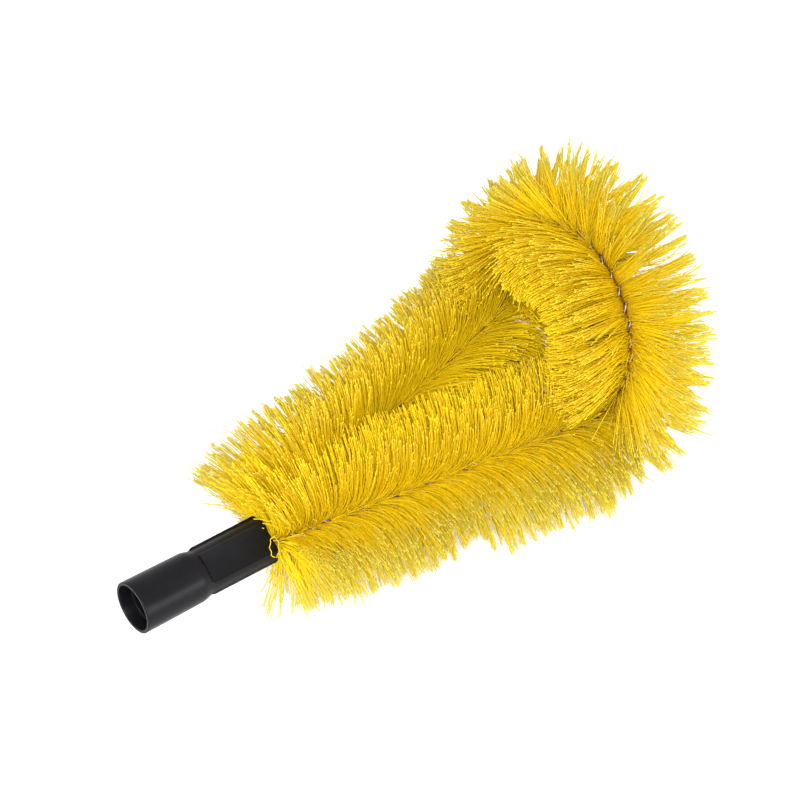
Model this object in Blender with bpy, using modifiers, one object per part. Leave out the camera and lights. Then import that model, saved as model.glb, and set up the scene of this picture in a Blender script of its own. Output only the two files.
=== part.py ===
"""A twisted-in-wire gutter brush.

A moulded pole socket holds both ends of a loop of two wires, twisted round each other.
Bristles are pinched between the wires along the whole loop, whose head is bent upward.
The brush lies on its bristles at z = 0, with +X from the socket to the head.
Every length below is in millimetres and every angle in degrees.
"""

import math

import bmesh
import bpy
import numpy as np
from mathutils import Vector

MM = 0.001

# Pole socket, measured along its axis from the mouth
mouth_diameter = 31.0
sleeve_end_diameter = 29.8
neck_diameter = 27.2
sleeve_length = 40.5
cone_length = 5.0
neck_length = 43.5
rim_wall = 2.0
rim_round = 0.5
lead_in_depth = 8.0
pole_diameter = 24.5
pole_clearance = 0.25
neck_wall = 2.0
neck_end_round = 0.9
socket_steps = 40

# Flutes along the neck
flute_count = 3
flute_depth = 4.0
flute_radius = 26.0
flute_run_out = 3.0

# Channels that hold the wire ends in the neck
channel_depth = 24.0
channel_floor = 4.0
channel_web = 3.0
channel_clearance = 0.3
wire_end_gap = 0.8

# Twisted wires
wire_diameter = 2.0
twist_pitch = 20.0
points_per_turn = 7
wire_gap = 0.35
straight_exit = 4.0
exit_bend = 3.5

# Loop that the twisted wires follow
loop_length = 282.0
head_radius = 53.5
head_bend_start = 184.0
head_bend_radius = 16.0
head_bend_angle = 72.5
socket_tilt = 7.2
path_step = 0.5

# Bristles
bristle_reach = 47.0
bristle_start = 6.5
core_width = 2.0
core_thickness = 0.6
leg_sections = 8
head_sections = 11
stations_per_turn = 7
strand_root_length = 1.3
strand_tip = 3.6
least_spread = 0.2
most_spread = 2.0
strand_clearance = 1.8
same_side_spacing = 9.0
section_gap = 0.3
length_variation = 0.05
upright_angle = 18.0
flat_cut = 0.5
neck_pass = 1.5
lean_run = 40.0
random_seed = 7

socket_length = sleeve_length + cone_length + neck_length
mouth_radius = mouth_diameter / 2
neck_radius = neck_diameter / 2
wire_radius = wire_diameter / 2
twist_radius = core_thickness / 2 + wire_gap + wire_radius
bundle_radius = twist_radius + wire_radius
channel_radius = bundle_radius + channel_clearance
leg_spacing = channel_radius + channel_web / 2
tilt = math.radians(socket_tilt)
socket_axis = np.array([math.cos(tilt), 0.0, -math.sin(tilt)])


def clear_scene():
    for obj in list(bpy.data.objects):
        bpy.data.objects.remove(obj, do_unlink=True)


def new_collection(name):
    collection = bpy.data.collections.new(name)
    bpy.context.scene.collection.children.link(collection)
    return collection


def plain_material(name, colour, roughness, metallic=0.0):
    material = bpy.data.materials.new(name)
    material.use_nodes = True
    shader = material.node_tree.nodes["Principled BSDF"]
    shader.inputs["Base Color"].default_value = (*colour, 1.0)
    shader.inputs["Roughness"].default_value = roughness
    shader.inputs["Metallic"].default_value = metallic
    material.diffuse_color = (*colour, 1.0)
    return material


def black_plastic():
    return plain_material("black_plastic", (0.016, 0.016, 0.019), 0.42)


def galvanised_wire():
    return plain_material("galvanised_wire", (0.52, 0.47, 0.44), 0.35, 1.0)


def yellow_filament():
    return plain_material("yellow_filament", (0.87, 0.60, 0.008), 0.45)


def half_teardrop():
    """Half the loop laid flat: a straight leg, then the head's arc, as (along, across) points."""
    centre = loop_length - head_radius
    flare = 0.2
    for _ in range(60):
        across = head_radius * math.cos(flare) - leg_spacing
        flare = math.atan2(across, centre - head_radius * math.sin(flare))
    corner = np.array([0.0, leg_spacing])
    tangent = np.array([centre - head_radius * math.sin(flare), head_radius * math.cos(flare)])
    leg_length = np.linalg.norm(tangent - corner)
    along_leg = np.linspace(0, 1, int(leg_length / path_step) + 1)[:, None]
    leg = corner + (tangent - corner) * along_leg
    sweep = math.pi / 2 + flare
    turn = np.linspace(sweep, 0, int(sweep * head_radius / path_step) + 1)[1:]
    arc = np.stack([centre + head_radius * np.cos(turn), head_radius * np.sin(turn)], axis=1)
    return np.concatenate([leg, arc])


def slope(flat):
    """How far the loop is turned upward at each flat point, in radians."""
    past = np.clip(flat[:, 0] - head_bend_start, 0, None)
    return np.minimum(past / head_bend_radius, math.radians(head_bend_angle))


def bend_head(flat):
    """Flat loop points lifted into three dimensions, with the head bent upward."""
    past = np.clip(flat[:, 0] - head_bend_start, 0, None)
    turned = slope(flat)
    straight = past - turned * head_bend_radius
    along = np.minimum(flat[:, 0], head_bend_start)
    x = along + head_bend_radius * np.sin(turned) + straight * np.cos(turned)
    z = head_bend_radius * (1 - np.cos(turned)) + straight * np.sin(turned)
    return np.stack([x, flat[:, 1], z], axis=1)


def rounded_exit(half, slopes):
    """The half loop with its straight end in the socket added, and the corner between them rounded.

    The slope at each point comes with it.
    """
    corner = half[0]
    leg_direction = (half[1] - half[0]) / np.linalg.norm(half[1] - half[0])
    inner_end = corner - socket_axis * (straight_exit + channel_depth - wire_end_gap)
    bend_from = corner - socket_axis * exit_bend
    bend_to = corner + leg_direction * exit_bend
    steps = int(np.linalg.norm(bend_from - inner_end) / path_step) + 1
    stub = inner_end + (bend_from - inner_end) * np.linspace(0, 1, steps)[:, None]
    t = np.linspace(0, 1, int(2 * exit_bend / path_step) + 1)[1:, None]
    bend = (1 - t) ** 2 * bend_from + 2 * t * (1 - t) * corner + t**2 * bend_to
    rest = np.linalg.norm(half - corner, axis=1) > exit_bend
    points = np.concatenate([stub, bend, half[rest]])
    return points, np.concatenate([np.full(steps, -tilt), -tilt * (1 - t[:, 0]), slopes[rest]])


class Path:
    """The twisted wires' centre line, with the direction that lies in the bent loop's own surface.

    The wires make a whole number of turns, so that both ends enter the socket alike.
    """

    def __init__(self):
        flat = half_teardrop()
        left, slopes = rounded_exit(bend_head(flat), slope(flat))
        right = left * [1, -1, 1]
        self.points = np.concatenate([right, left[-2::-1]]) + loop_origin()
        slopes = np.concatenate([slopes, slopes[-2::-1]])
        steps = np.linalg.norm(np.diff(self.points, axis=0), axis=1)
        self.at = np.concatenate([[0.0], np.cumsum(steps)])
        self.length = self.at[-1]
        self.leg_start = channel_depth - wire_end_gap + bristle_start
        self.leg_end = self.at[np.argmax(slopes > 0)]
        self.turns = round(self.length / twist_pitch)
        self.station_spacing = self.length / self.turns / stations_per_turn
        tangents = np.gradient(self.points, self.at, axis=0)
        self.tangents = tangents / np.linalg.norm(tangents, axis=1)[:, None]
        self.curvatures = np.gradient(self.tangents, self.at, axis=0)
        normals = np.stack([-np.sin(slopes), np.zeros(len(slopes)), np.cos(slopes)], axis=1)
        sides = np.cross(normals, self.tangents)
        self.sides = sides / np.linalg.norm(sides, axis=1)[:, None]

    def other_stretches(self, s):
        """The centre line's points that strands on another stretch than the one at s grow from."""
        apart = np.abs(self.at - s) > same_side_spacing
        apart &= np.minimum(self.at, self.length - self.at) > self.leg_start
        if s < self.leg_end:
            apart &= self.at > self.leg_end
        if s > self.length - self.leg_end:
            apart &= self.at < self.length - self.leg_end
        return self.points[apart]

    def between_stations(self, s):
        """The places nearest to s that lie midway between two strands' stations."""
        return (np.floor(s / self.station_spacing) + 0.5) * self.station_spacing

    def spread(self, s, reach):
        """How much wider the room along the wires is at a strand's tip than at its root."""
        curvature = np.array([np.interp(s, self.at, self.curvatures[:, i]) for i in range(3)])
        return min(max(1 - curvature @ reach, least_spread), most_spread)

    def frame(self, s):
        """Centre, direction towards the wires' line and across it, and tangent, at distance s."""
        centre, tangent, side = (
            np.array([np.interp(s, self.at, values[:, i]) for i in range(3)])
            for values in (self.points, self.tangents, self.sides)
        )
        tangent = tangent / np.linalg.norm(tangent)
        side = side - tangent * (side @ tangent)
        side = side / np.linalg.norm(side)
        up = np.cross(tangent, side)
        turn = 2 * math.pi * self.turns * s / self.length
        towards_wire = math.cos(turn) * side + math.sin(turn) * up
        across = math.sin(turn) * side - math.cos(turn) * up
        return centre, towards_wire, across, tangent


def loop_origin():
    """Where the loop's corner at the socket lies, so that the brush stands centred on the origin."""
    tip = bend_head(np.array([[loop_length, 0.0]]))[0]
    front = tip[0] + bristle_reach
    reach_back = (socket_length + straight_exit) * math.cos(tilt) + mouth_radius * math.sin(tilt)
    return np.array([(reach_back - front) / 2, 0.0, bristle_reach - flat_cut])


def socket_profile():
    """Radius and height of the socket's turned outline: the neck's end, the outside, then the bores."""
    bore = pole_diameter / 2 + pole_clearance
    lead_in = mouth_radius - rim_wall
    neck_bore = neck_radius - flute_depth - neck_wall
    neck_bore_end = socket_length - channel_depth - channel_floor
    return [
        (0.0, socket_length),
        (neck_radius - neck_end_round, socket_length),
        (neck_radius, socket_length - neck_end_round),
        (neck_radius, sleeve_length + cone_length),
        (sleeve_end_diameter / 2, sleeve_length),
        (mouth_radius, rim_round),
        (mouth_radius - rim_round, 0.0),
        (lead_in + rim_round, 0.0),
        (lead_in, rim_round),
        (lead_in, lead_in_depth),
        (bore, lead_in_depth),
        (bore, sleeve_length),
        (neck_bore, sleeve_length),
        (neck_bore, neck_bore_end),
        (0.0, neck_bore_end),
    ]


def turned(name, profile, steps, collection):
    """A Screw of the profile round local Z."""
    mesh = bpy.data.meshes.new(name)
    points = [(radius * MM, 0.0, height * MM) for radius, height in profile]
    edges = [(i, i + 1) for i in range(len(points) - 1)]
    mesh.from_pydata(points, edges, [])
    obj = bpy.data.objects.new(name, mesh)
    collection.objects.link(obj)
    screw = obj.modifiers.new("turn", "SCREW")
    screw.steps = steps
    screw.render_steps = steps
    screw.use_merge_vertices = True
    screw.merge_threshold = 0.00005
    return obj


def flute_cutter(index, collection):
    """A round bar that tapers in where the flute runs out into the cone."""
    start = sleeve_length + cone_length - flute_run_out
    profile = [
        (0.0, socket_length + flute_radius),
        (flute_radius, socket_length + flute_radius),
        (flute_radius, start + flute_run_out),
        (flute_radius - flute_depth, start),
        (0.0, start),
    ]
    cutter = turned(f"flute_cutter_{index + 1}", profile, 48, collection)
    angle = math.pi / 2 + index * 2 * math.pi / flute_count
    away = neck_radius - flute_depth + flute_radius
    cutter.location = (away * math.cos(angle) * MM, away * math.sin(angle) * MM, 0.0)
    return cutter


def channel_cutter(side, collection):
    floor = socket_length - channel_depth
    top = socket_length + channel_radius
    profile = [(0.0, top), (channel_radius, top), (channel_radius, floor), (0.0, floor)]
    cutter = turned(f"channel_cutter_{side}", profile, 16, collection)
    cutter.location.y = leg_spacing * MM * (1 if side == "left" else -1)
    return cutter


def cut(obj, cutter):
    cutter.hide_render = True
    cutter.display_type = "WIRE"
    difference = obj.modifiers.new(cutter.name, "BOOLEAN")
    difference.operation = "DIFFERENCE"
    difference.solver = "EXACT"
    difference.object = cutter


def socket_empty(collection):
    """An empty at the mouth's centre, whose Z runs along the socket's axis."""
    empty = bpy.data.objects.new("socket_axis", None)
    collection.objects.link(empty)
    mouth = loop_origin() - socket_axis * (straight_exit + socket_length)
    empty.location = Vector(mouth * MM)
    empty.rotation_euler = (0.0, math.pi / 2 + tilt, 0.0)
    return empty


def make_socket(parts, cutters):
    axis = socket_empty(parts)
    socket = turned("pole_socket", socket_profile(), socket_steps, parts)
    tools = [flute_cutter(index, cutters) for index in range(flute_count)]
    tools += [channel_cutter(side, cutters) for side in ("left", "right")]
    for piece in [socket, *tools]:
        piece.parent = axis
    for tool in tools:
        cut(socket, tool)
    return socket


def make_wire(name, path, half_turn, collection):
    """One wire's helix round the path, as a bevelled curve."""
    count = path.turns * points_per_turn + 1
    curve = bpy.data.curves.new(name, "CURVE")
    curve.dimensions = "3D"
    curve.bevel_depth = wire_radius * MM
    curve.bevel_resolution = 1
    curve.use_fill_caps = True
    spline = curve.splines.new("POLY")
    spline.points.add(count - 1)
    for point, s in zip(spline.points, np.linspace(0, path.length, count)):
        centre, towards_wire, _, _ = path.frame(s)
        place = centre + towards_wire * twist_radius * (-1 if half_turn else 1)
        point.co = (*(place * MM), 1.0)
    wire = bpy.data.objects.new(name, curve)
    collection.objects.link(wire)
    return wire


def section_ranges(path):
    """Name, start and end of each bristle section, counted out along each leg and round the head."""
    right = np.linspace(path.leg_start, path.leg_end, leg_sections + 1)
    head = np.linspace(path.leg_end, path.length - path.leg_end, head_sections + 1)
    left = (path.length - right)[::-1]
    names = [f"right_leg_bristles_{i + 1}" for i in range(leg_sections)]
    names += [f"head_bristles_{i + 1}" for i in range(head_sections)]
    names += [f"left_leg_bristles_{i}" for i in range(leg_sections, 0, -1)]
    ends = path.between_stations(np.concatenate([right, head[1:], left[1:]]))
    half_gap = section_gap / 2
    return [(name, a + half_gap, b - half_gap) for name, a, b in zip(names, ends, ends[1:])]


def lean_back(path, s):
    """How far a strand near the socket leans back over the neck, in radians."""
    clear = math.atan2(bristle_start - neck_pass, neck_radius + neck_pass)
    exit_at = channel_depth - wire_end_gap
    from_neck = min(s, path.length - s) - exit_at
    share = 1 - (from_neck - bristle_start) / lean_run
    lean = clear * min(max(share, 0.0), 1.0)
    return lean if s < path.length / 2 else -lean


def room_for(path, s, root, direction, wanted):
    """The strand's length where it would come too near to strands of another stretch of the loop."""
    others = path.other_stretches(s)
    apart = np.linalg.norm(others - root, axis=1)
    for length in np.linspace(0, wanted, 95)[1:]:
        point = root + direction * length
        nearer = ((others - point) ** 2).sum(axis=1) - length**2
        if (nearer / (2 * apart)).min() < strand_clearance:
            return max(length - wanted / 94, core_width)
    return wanted


class Strand:
    """One tuft of bristles: it grows out of the core's edge at s, and splays out to its tip."""

    def __init__(self, path, s, side, chance):
        centre, towards_wire, across, tangent = path.frame(s)
        lean = lean_back(path, s)
        outward = across * side
        self.s = s
        self.side = side
        self.root = centre
        self.direction = outward * math.cos(lean) - tangent * math.sin(lean)
        self.thick = towards_wire
        self.broad = tangent * math.cos(lean) + outward * math.sin(lean)
        upright = abs(self.direction[2]) > math.cos(math.radians(upright_angle))
        reach = bristle_reach * (1 - (0.0 if upright else chance * length_variation))
        self.length = room_for(path, s, self.root, self.direction, reach)
        self.spread = path.spread(s, self.direction * self.length)

    def tip_corner(self, along, thick):
        """A corner of the tip, cut back to the floor where it would pass below it."""
        half = strand_tip / 2
        tip = self.root + self.direction * self.length
        corner = tip + self.broad * half * self.spread * along + self.thick * half * thick
        if corner[2] < 0:
            base = self.root[2] + (corner[2] - tip[2])
            corner = corner + self.direction * (corner[2] / (base - corner[2])) * self.length
        return corner


def ring_places(start, end, stations):
    """Where the core is divided: on both sides of each strand's root."""
    places = [start]
    for s in stations:
        places += [s - strand_root_length / 2, s + strand_root_length / 2]
    return np.array([*places, end])


def straight_core(rings):
    """A bar along local X with a ring of edges at each place, as a bmesh in millimetres."""
    bm = bmesh.new()
    bmesh.ops.create_cube(bm, size=1.0)
    long_edges = [e for e in bm.edges if abs(e.verts[0].co.x - e.verts[1].co.x) > 0.5]
    bmesh.ops.subdivide_edges(bm, edges=long_edges, cuts=len(rings) - 2)
    for vert in bm.verts:
        index = round((vert.co.x + 0.5) * (len(rings) - 1))
        vert.co.x = rings[index]
        vert.co.y *= core_width
        vert.co.z *= core_thickness
    return bm


def make_section(name, path, start, end, chances, collection):
    """A slice of the twisted core between the wires, with its strands grown out of both edges."""
    first = math.ceil(start / path.station_spacing)
    last = math.floor(end / path.station_spacing)
    stations = [index * path.station_spacing for index in range(first, last + 1)]
    bm = straight_core(ring_places(start, end, stations))
    strands = {}
    for index, s in enumerate(stations):
        for side in (1, -1):
            strands[index, side] = Strand(path, s, side, chances.random())
    roots = []
    for face in bm.faces:
        middle = face.calc_center_median()
        nearest = min(range(len(stations)), key=lambda i: abs(stations[i] - middle.x))
        on_edge = abs(middle.y) > 0.49 * core_width
        if on_edge and abs(stations[nearest] - middle.x) < strand_root_length / 4:
            roots.append(face)
    grown = bmesh.ops.extrude_discrete_faces(bm, faces=roots)["faces"]
    tips = {}
    for face in grown:
        middle = face.calc_center_median()
        index = min(range(len(stations)), key=lambda i: abs(stations[i] - middle.x))
        strand = strands[index, 1 if middle.y > 0 else -1]
        for vert in face.verts:
            along = 1 if vert.co.x > strand.s else -1
            tips[vert] = strand.tip_corner(along, 1 if vert.co.z > 0 else -1)
    for vert in bm.verts:
        if vert in tips:
            vert.co = Vector(tips[vert] * MM)
            continue
        centre, towards_wire, across, _ = path.frame(vert.co.x)
        vert.co = Vector((centre + across * vert.co.y + towards_wire * vert.co.z) * MM)
    mesh = bpy.data.meshes.new(name)
    bm.to_mesh(mesh)
    bm.free()
    section = bpy.data.objects.new(name, mesh)
    collection.objects.link(section)
    return section, list(strands.values())


def least_distance(strands):
    """The least distance between the centre lines of two strands, outside the core."""
    starts = np.array([strand.root + strand.direction * core_width for strand in strands])
    lines = np.array([strand.direction * (strand.length - core_width) for strand in strands])
    shares = np.linspace(0, 1, 48)[:, None, None]
    points = starts + lines * shares
    least = math.inf
    for index in range(len(strands) - 1):
        others = points[:, index + 1 :]
        along = ((others - starts[index]) @ lines[index]) / (lines[index] @ lines[index])
        nearest = starts[index] + np.clip(along, 0, 1)[..., None] * lines[index]
        least = min(least, np.linalg.norm(others - nearest, axis=-1).min())
    return least


def main():
    clear_scene()
    parts = new_collection("gutter_brush")
    cutters = new_collection("cutters")
    path = Path()
    make_socket(parts, cutters).data.materials.append(black_plastic())
    wire_material = galvanised_wire()
    for name, half_turn in (("twist_wire_1", False), ("twist_wire_2", True)):
        make_wire(name, path, half_turn, parts).data.materials.append(wire_material)
    filament = yellow_filament()
    strands = []
    for number, (name, start, end) in enumerate(section_ranges(path)):
        chances = np.random.default_rng([random_seed, number])
        section, grown = make_section(name, path, start, end, chances, parts)
        section.data.materials.append(filament)
        strands += grown
    print(len(strands), "strands on a loop of", round(path.length), "mm of twisted wire")
    print("least distance between strands:", round(least_distance(strands), 2), "mm")


main()
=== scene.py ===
"""The looks of the gutter brush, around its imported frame.

Lengths are in millimetres and angles in degrees unless a comment says otherwise.
A pair in brackets is the least and the most of a chance number unless a comment says otherwise.
"""

import math

import bpy
import bmesh
import numpy as np
from mathutils import Matrix, Vector


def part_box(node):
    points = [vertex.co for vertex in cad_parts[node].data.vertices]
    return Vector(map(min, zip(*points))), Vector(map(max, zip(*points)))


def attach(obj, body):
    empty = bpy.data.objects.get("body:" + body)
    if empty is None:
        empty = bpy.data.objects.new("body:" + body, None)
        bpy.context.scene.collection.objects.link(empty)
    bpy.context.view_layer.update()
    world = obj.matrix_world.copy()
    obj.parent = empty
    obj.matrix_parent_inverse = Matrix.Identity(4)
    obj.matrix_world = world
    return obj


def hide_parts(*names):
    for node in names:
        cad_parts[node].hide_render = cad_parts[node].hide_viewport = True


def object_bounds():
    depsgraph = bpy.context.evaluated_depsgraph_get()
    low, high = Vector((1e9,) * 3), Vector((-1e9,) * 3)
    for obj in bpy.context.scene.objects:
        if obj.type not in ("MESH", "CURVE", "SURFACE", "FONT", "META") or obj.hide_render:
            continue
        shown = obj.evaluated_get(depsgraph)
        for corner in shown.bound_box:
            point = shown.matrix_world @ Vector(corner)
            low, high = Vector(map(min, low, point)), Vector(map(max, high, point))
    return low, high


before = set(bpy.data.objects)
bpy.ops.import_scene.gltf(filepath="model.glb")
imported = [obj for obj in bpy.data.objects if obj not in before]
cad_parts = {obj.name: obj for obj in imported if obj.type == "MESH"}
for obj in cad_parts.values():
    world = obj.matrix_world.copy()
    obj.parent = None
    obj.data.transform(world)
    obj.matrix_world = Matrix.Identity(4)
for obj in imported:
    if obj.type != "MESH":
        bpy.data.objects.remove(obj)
cad_box = [list(corner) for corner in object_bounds()]

MM = 0.001

# Pole socket, measured along its axis from the mouth
mouth_radius = 15.5
sleeve_end_radius = 14.9
neck_radius = 13.6
sleeve_length = 40.5
cone_length = 5.0
socket_length = 89.0
rim_wall = 2.0
rim_round = 0.5
rim_inner_share = 0.3
lead_in_depth = 8.0
lead_in_round = 0.15
bore_radius = 12.5
bore_chamfer = 0.2
neck_bore_radius = 7.6
neck_bore_end = 61.0
shoulder_round = 2.6
neck_end_round = 2.4
flute_count = 3
flute_depth = 4.0
flute_radius = 26.0
flute_round = 0.5
flute_start = 43.2
flute_run_out = 3.0
least_flute = 0.02
channel_radius = 2.95
channel_depth = 24.0
socket_tilt = 7.2
sharp_angle = 38.0

# Twisted wires and the loop that they follow
wire_radius = 1.0
twist_radius = 1.65
twist_pitch = 20.0
wire_end_gap = 0.8
straight_exit = 4.0
exit_bend = 3.5
leg_spacing = 4.45
loop_length = 282.0
head_radius = 53.5
head_bend_start = 184.0
head_bend_radius = 16.0
head_bend_angle = 72.5

# Steps of the meshes
path_step = 0.5
socket_steps = 160
rounding_rows = 7
sleeve_rows = 14
shoulder_rows = 34
shoulder_run_on = 1.0
neck_rows = 26
channel_segments = 48
wire_sides = 12
wire_rings_per_turn = 22
filament_sides = 3
filament_rings = 29

# UV maps of the tubes, in shares of a tube's own place
length_to_girth = 30.0  # of a filament
strip_margin = 0.08
cap_share = 0.05
cap_height_share = 0.4
cap_centre = 0.25
cap_half_width = 0.2
cap_distance = 0.5

# Where the filaments stand on the path and round it
bristle_start = 6.5
leg_sections = 8
head_sections = 11
stations_per_turn = 7
filaments_per_mm = 37.0
angle_spread = 32.0
bare_wire = (299.0, 339.0)  # from and to, on the path
short_share = 0.2
bare_short_share = 0.02

# Their thickness and reach, then their lengths as shares of the reach
filament_radius = 0.34
thickness_range = (0.85, 1.1)
reach = 47.0
floor_clearance = 0.25
outer_slope = 1.6
outer_reach = (  # place on the path, and the reach's share there on the loop's outer side
    (0, 0.93), (45, 0.94), (70, 1.02), (108, 1.04), (122, 0.9), (133, 0.8), (145, 1.1), (195, 1.14),
    (250, 1.03), (272, 1.0), (305, 1.0), (350, 1.05), (378, 0.96), (398, 0.74), (425, 0.88), (470, 1.0),
    (566, 0.96), (590, 1.09), (635, 1.15), (660, 0.9),
)
length_loss = 0.1
short_lengths = (0.12, 0.42)
stray_share = 0.012
stray_lengths = (1.04, 1.12)

# The spread of their lean: a share of them is loose, and the rest is calmer, most so at the edge
loose_share = 0.12
loose_spread = 2.4
calm_spread = 0.9
edge_calm = 0.5
bend_spread = 0.8  # in mm at the tip, for each degree of that spread

# The parting on the side that faces the camera, and the sweep towards the head there
parting = 24.0
parting_width = 36.0
parting_pushes = (0.85, 0.3)  # mean and spread
parting_limits = (-0.2, 1.3)
parting_fade = 16.0
least_parting = 0.1
head_sweep = 13.0
sweep_width = 62.0
sweep_distance = 110.0
sweep_start = 0.15
sweep_range = (0.6, 1.2)
sweep_rise = 0.22
neck_sweep_loss = 0.5

# Ribbons and tufts
ribbon_breaks = (121.0, 134.0, 231.0, 246.0, 262.0, 324.0)
break_width = 6.5
break_clearance = 0.9
ribbon_lengths = (0.96, 1.07)
ribbon_range = 45.0
ribbon_power = 2.1
least_gain = 0.4
most_move = 5
edge_power = 1.5
tuft_lengths = (0.93, 1.02)
tuft_window = 4
least_gathered = 0.2

# Next to the neck, where the filaments fan back over it; leans are shares of the way out
fan_length = 38.0
fan_thickening = 9.0
fan_filaments = 305
fan_stretch = 2.0
neck_gap = 1.2
fan_lean = 0.52
fan_power = 0.45
fan_forward = 0.08
fan_range = (0.8, 1.1)
right_leg_share = 0.65
below_bell = (38.0, 3.3)  # width, and centre in widths from the side that faces the camera
below_leans = (0, 0.38)
forward_bell = (26.0, 1.3)  # as below_bell
forward_leans = (0.1, 0.75)
wild_share = 0.035
wild_leans = (0.1, 0.5)
wild_lengths = (0.55, 0.85)
lean_room = 8.0  # away from the exit, for a lean of 1
lean_slack = 0.05
root_lean_share = 0.6
tip_lean_share = 0.55
far_top = (0.0, 0.87, 0.5)
far_top_growth = 0.2

# The left leg's filaments that would stand through the right leg
legs_close_until = 130.0
legs_gap = 3.0
over_legs = 0.8
least_crossing = 0.05
least_length = 6.0

# The two filaments that hang over the neck's end
hang_root = 3.0
hang_ahead = 3.0
hang_behind = 1.5
hang_clear = 2.0
hang_drop = 1.0
hang_half_height = 5.6
hang_half_width = 2.2
hang_half_gap = 0.2
hang_wave = 0.35
hang_waves = 7.0
hang_stem_rings = 8

# The wave pressed into the filaments
crimp_wave = 6.0
crimp_height = 0.18
crimp_heights = (0.6, 1.2)
crimp_fade = 0.06
crimp_plane_spread = 0.12
crimp_phase_spread = 0.1
crimp_seed = 33
stretch_seed = 11

# Colours, with (place, colour) for each stop of a ramp
filament_yellows = ((0.0, (0.95, 0.68, 0.006)), (0.5, (0.97, 0.71, 0.009)), (1.0, (0.98, 0.75, 0.016)))
# Painted shade: the filaments go darker and browner towards their roots, where they crowd along the wires
root_painted_shade = ((0.0, (0.50, 0.36, 0.25)), (0.05, (0.72, 0.60, 0.45)), (0.16, (1.0, 1.0, 1.0)))
# Painted shade: the tips on the loop's outer side go olive and darker
olive_painted_tip_shade = (0.54, 0.48, 0.09)
painted_tip_shade_range = (0.35, 1.0)
painted_tip_shade_start = 0.55
painted_tip_shade_fade = 0.4
# The spangle's varying tones are the wire's own; their brown tint and darkness are painted reflection of
# the yellow filaments and painted shade along the crease
wire_greys_with_painted_brown = ((0.3, (0.17, 0.12, 0.08)), (0.5, (0.30, 0.22, 0.16)), (0.7, (0.46, 0.37, 0.29)))
socket_blacks = ((0.3, (0.004, 0.004, 0.005)), (0.7, (0.007, 0.007, 0.009)))
floor_white = (0.86, 0.86, 0.86, 1.0)

# Floor and light, in metres and watts
floor_size = 12.0
floor_drop = 0.0004
floor_glow = 0.28
ambient = 1.03
lamp_target = (0.0, 0.0, 0.05)
lamps = (  # name, place, size and power
    ("key", (-0.72, -1.1, 1.78), 0.4, 33.0),
    ("front", (0.78, -1.72, 0.42), 0.7, 13.0),
    ("left", (-1.7, 0.1, 0.95), 0.7, 9.0),
)

# Camera
camera_azimuth = -123.2
camera_elevation = 52.8
camera_roll = -3.9
camera_distance = 3000.0
camera_target = (23.9, 32.0, 46.5)
camera_lens = 240.2

tilt = math.radians(socket_tilt)
socket_axis = np.array([math.cos(tilt), 0.0, -math.sin(tilt)])


def mouth_centre():
    """The centre of the socket's mouth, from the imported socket's own box."""
    low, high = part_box("pole_socket")
    x = low.x / MM + mouth_radius * math.sin(tilt)
    z = high.z / MM - mouth_radius * math.cos(tilt)
    return np.array([x, 0.0, z])


loop_origin = mouth_centre() + socket_axis * (socket_length + straight_exit)


def view_direction():
    """The unit vector from the object towards the camera."""
    azimuth, elevation = math.radians(camera_azimuth), math.radians(camera_elevation)
    level = math.cos(elevation)
    return np.array([level * math.cos(azimuth), level * math.sin(azimuth), math.sin(elevation)])


def unit(vectors):
    return vectors / np.linalg.norm(vectors, axis=-1, keepdims=True)


def wrapped(angles):
    """Angles in radians brought to between minus and plus half a turn."""
    return (angles + math.pi) % (2 * math.pi) - math.pi


def bell(angles, width, centre=0.0):
    """A bell curve over angles in radians, of a width in degrees, with its centre in widths."""
    return np.exp(-((angles / math.radians(width) - centre) ** 2))


def half_teardrop():
    """Half the loop laid flat: a straight leg, then the head's arc, as (along, across) points."""
    centre = loop_length - head_radius
    # The leg meets the arc at the angle that these steps settle on, from any small first guess
    flare = 0.2
    for _ in range(60):
        across = head_radius * math.cos(flare) - leg_spacing
        flare = math.atan2(across, centre - head_radius * math.sin(flare))
    corner = np.array([0.0, leg_spacing])
    tangent = np.array([centre - head_radius * math.sin(flare), head_radius * math.cos(flare)])
    along_leg = np.linspace(0, 1, int(np.linalg.norm(tangent - corner) / path_step) + 1)[:, None]
    leg = corner + (tangent - corner) * along_leg
    sweep = math.pi / 2 + flare
    turn = np.linspace(sweep, 0, int(sweep * head_radius / path_step) + 1)[1:]
    arc = np.stack([centre + head_radius * np.cos(turn), head_radius * np.sin(turn)], axis=1)
    return np.concatenate([leg, arc])


def bend_head(flat):
    """Flat loop points with the head bent upward, and the slope at each of them."""
    past = np.clip(flat[:, 0] - head_bend_start, 0, None)
    slope = np.minimum(past / head_bend_radius, math.radians(head_bend_angle))
    straight = past - slope * head_bend_radius
    x = np.minimum(flat[:, 0], head_bend_start)
    x = x + head_bend_radius * np.sin(slope) + straight * np.cos(slope)
    z = head_bend_radius * (1 - np.cos(slope)) + straight * np.sin(slope)
    return np.stack([x, flat[:, 1], z], axis=1), slope


def rounded_exit(half, slopes):
    """The half loop with its straight end in the socket added, and the corner between them rounded."""
    corner = half[0]
    leg_direction = unit(half[1] - half[0])
    inner_end = corner - socket_axis * (straight_exit + channel_depth - wire_end_gap)
    bend_from = corner - socket_axis * exit_bend
    bend_to = corner + leg_direction * exit_bend
    steps = int(np.linalg.norm(bend_from - inner_end) / path_step) + 1
    stub = inner_end + (bend_from - inner_end) * np.linspace(0, 1, steps)[:, None]
    t = np.linspace(0, 1, int(2 * exit_bend / path_step) + 1)[1:, None]
    bend = (1 - t) ** 2 * bend_from + 2 * t * (1 - t) * corner + t**2 * bend_to
    rest = np.linalg.norm(half - corner, axis=1) > exit_bend
    points = np.concatenate([stub, bend, half[rest]])
    return points, np.concatenate([np.full(steps, -tilt), -tilt * (1 - t[:, 0]), slopes[rest]])


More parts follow.
